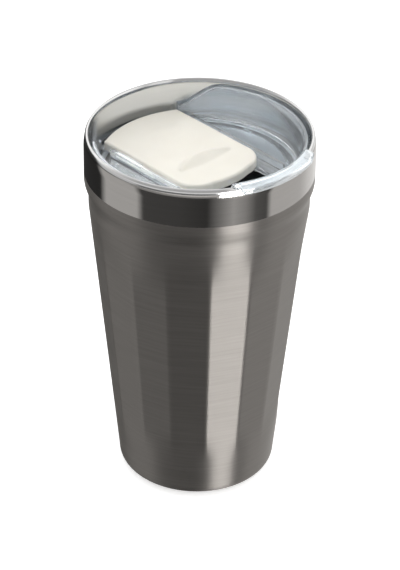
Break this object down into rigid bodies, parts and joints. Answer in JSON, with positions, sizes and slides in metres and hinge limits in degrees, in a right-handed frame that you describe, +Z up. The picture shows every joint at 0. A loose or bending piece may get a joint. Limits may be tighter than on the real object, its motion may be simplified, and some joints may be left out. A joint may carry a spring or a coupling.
{
  "type": "insulated travel mug",
  "caption": "Double-walled faceted steel tumbler with a clear plug-in lid, drinking lip and a sliding cover over the port.",
  "frame": {"origin": "middle of the foot, on the surface that the mug stands on", "axes": "+Z up the mug's axis, -Y towards the drinking lip, +X to the right of someone who looks along +Y"},
  "size_m": [0.089, 0.0909, 0.1517],
  "materials": {
    "brushed_shell": "dark gunmetal, brushed round the body, polished collar",
    "polished_liner": "bright drawn stainless steel",
    "copper": "bright copper foil",
    "base_steel": "satin stainless steel",
    "solder_glass": "dark solder glass",
    "getter_alloy": "pressed metal powder",
    "clear_lid": "clear moulded copolyester",
    "clear_silicone": "translucent silicone",
    "cream_plastic": "satin cream polypropylene"
  },
  "bodies": {
    "tumbler": {"outer_shell": "brushed_shell", "inner_liner": "polished_liner", "copper_foil": "copper", "base_cap": "base_steel", "exhaust_seal_bead": "solder_glass", "base_cover_disc": "base_steel", "getter_pellet": "getter_alloy", "getter_clip": "polished_liner"},
    "lid": {"lid_body": "clear_lid", "lid_gasket": "clear_silicone"},
    "slider": {"slider_cover": "cream_plastic", "slider_seal": "clear_silicone"}
  },
  "joints": [
    {"name": "lid_lift", "type": "slide", "parent": "tumbler", "child": "lid", "axis": [0, 0, 1], "range_m": [0, 0.05]},
    {"name": "slider_slide", "type": "slide", "parent": "lid", "child": "slider", "axis": [0, -1, 0], "range_m": [0, 0.012]}
  ]
}
